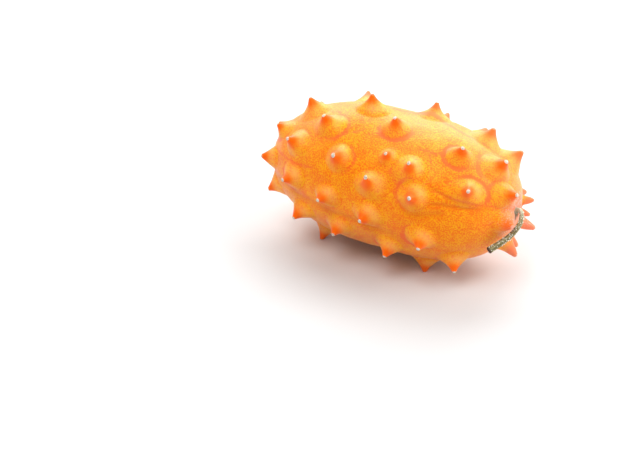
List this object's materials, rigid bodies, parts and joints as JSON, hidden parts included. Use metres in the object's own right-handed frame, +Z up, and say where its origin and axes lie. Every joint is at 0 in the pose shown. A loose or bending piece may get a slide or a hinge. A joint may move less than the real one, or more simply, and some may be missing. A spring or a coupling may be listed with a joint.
{
  "type": "horned melon",
  "caption": "Whole ripe horned melon with an orange skin set with blunt spines and a thin hooked stem, lying on its spine tips.",
  "frame": {"origin": "on the surface it lies on, under the middle of the whole piece", "axes": "+X along the fruit towards the stem, +Z up, -Y the side with the bare valley beside the stem"},
  "size_m": [0.1469, 0.0862, 0.0826],
  "materials": {
    "skin": "satin waxy rind, bright orange with yellow speckle, coral rings round the spines and grey-white spine tips",
    "stalk": "dry, ribbed olive-grey plant stem with pale bristle dots and a dark brown cut end"
  },
  "bodies": {
    "root": {"fruit": "skin", "stem": "stalk"}
  },
  "joints": []
}
